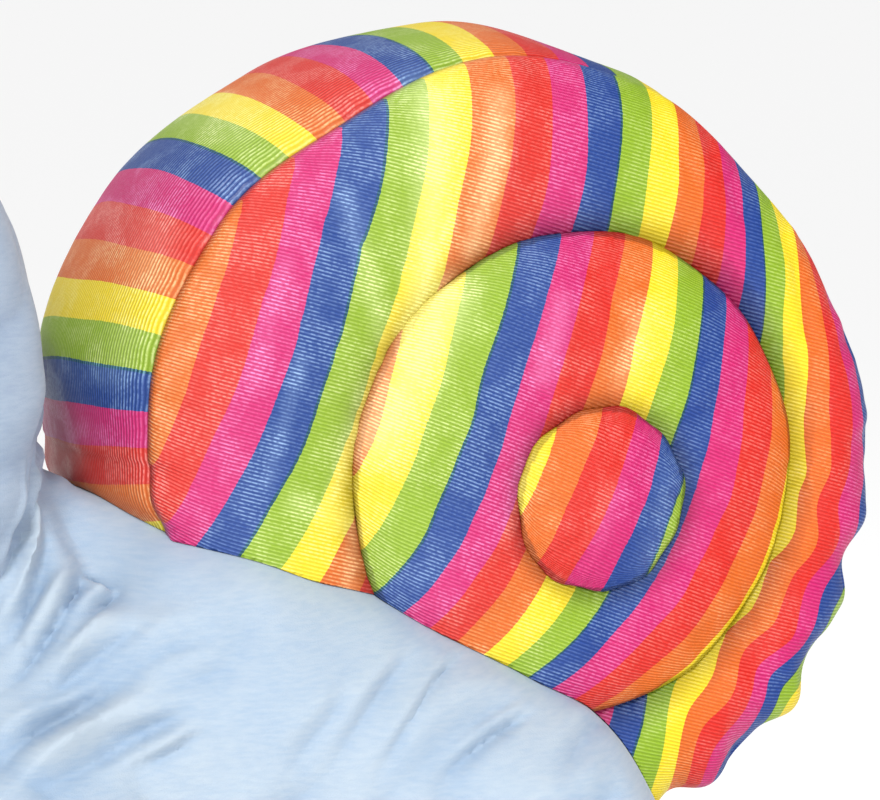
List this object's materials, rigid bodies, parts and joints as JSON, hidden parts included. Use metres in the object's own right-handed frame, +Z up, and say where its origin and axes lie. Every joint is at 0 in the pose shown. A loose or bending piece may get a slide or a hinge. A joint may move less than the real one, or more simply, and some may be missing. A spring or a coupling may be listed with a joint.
{
  "type": "baby snail costume",
  "caption": "Hooded baby jumpsuit held in a crawling pose, with a large stuffed rainbow-striped snail shell sewn along the back.",
  "frame": {"origin": "inner face of the back, on the centre seam between the shoulder blades, where the wearer's back carries the costume", "axes": "+Z up, -X the way the wearer faces and crawls, -Y the wearer's left"},
  "size_m": [0.5065, 0.2674, 0.5503],
  "materials": {
    "velour": "pale blue velour, short nap",
    "hood_velour": "pale blue velour, short nap",
    "strip_satin": "ribbed satin velour in rainbow stripes",
    "face_satin": "ribbed satin velour in rainbow stripes",
    "middle_satin": "ribbed satin velour in rainbow stripes",
    "centre_satin": "ribbed satin velour in rainbow stripes"
  },
  "bodies": {
    "root": {"back_left": "velour", "back_right": "velour", "front_left": "velour", "front_right": "velour", "sleeve_left": "velour", "sleeve_right": "velour", "hood_left": "hood_velour", "hood_right": "hood_velour", "shell_strip": "strip_satin", "shell_face_left": "face_satin", "shell_middle_left": "middle_satin", "shell_centre_left": "centre_satin", "shell_face_right": "face_satin", "shell_middle_right": "middle_satin", "shell_centre_right": "centre_satin"}
  },
  "joints": []
}
